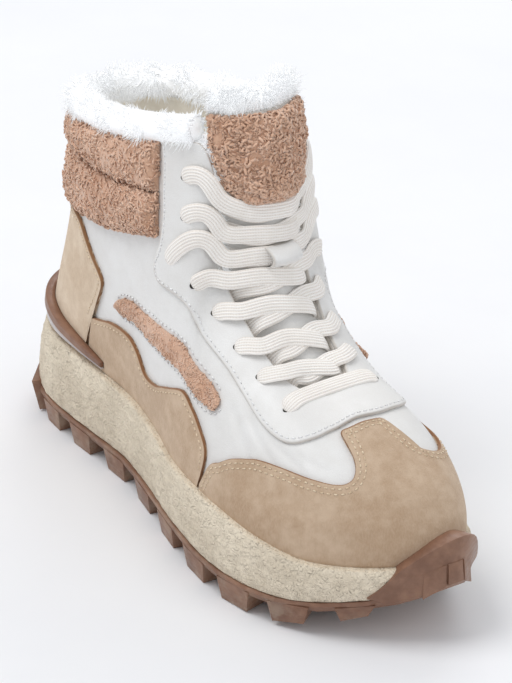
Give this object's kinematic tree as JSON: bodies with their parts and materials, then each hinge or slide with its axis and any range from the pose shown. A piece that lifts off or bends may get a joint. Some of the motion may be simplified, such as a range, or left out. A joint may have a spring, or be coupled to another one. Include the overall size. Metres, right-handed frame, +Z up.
{
  "type": "winter sneaker",
  "caption": "High-top lace-up winter sneaker with a thick lugged sole, suede panels, fleece collar pads and plush trim.",
  "frame": {"origin": "middle of the flat bottom of the heel's centre lug, which rests on the floor", "axes": "+X towards the toe, +Y towards the shoe's medial side, +Z up; the shoe is a right shoe standing on its sole"},
  "size_m": [0.2878, 0.1048, 0.2095],
  "materials": {
    "gum_rubber": "brown gum rubber, satin",
    "foam": "pebbled cream foam, matte",
    "lining": "cream fleece",
    "leather": "smooth off-white leather with a fine grain",
    "suede": "tan suede with a soft nap",
    "pale_suede": "pale tan suede",
    "teddy": "curly pinkish-brown fleece",
    "plush": "white plush",
    "lace": "flat ribbed cotton tape",
    "clip_face": "pale greyish-lilac moulded plastic"
  },
  "bodies": {
    "root": {"outsole": "gum_rubber", "midsole": "foam", "insole": "lining", "upper": "leather", "toe_cap": "suede", "side_panel_lateral": "suede", "side_panel_medial": "suede", "heel_counter": "pale_suede", "eyestay": "leather", "collar_pad_lower": "teddy", "collar_pad_upper": "teddy", "inlay_lateral": "teddy", "inlay_medial": "teddy", "heel_clip_band": "gum_rubber", "heel_clip_face": "clip_face", "tongue": "leather", "tongue_pad": "teddy", "collar_fur": "plush", "tongue_fur": "plush", "lace_row_1": "lace", "lace_row_2": "lace", "lace_row_3": "lace", "lace_row_4": "lace", "lace_row_5": "lace", "lace_row_6": "lace", "lace_row_7": "lace", "lace_row_8": "lace", "lace_keeper": "leather"}
  },
  "joints": []
}
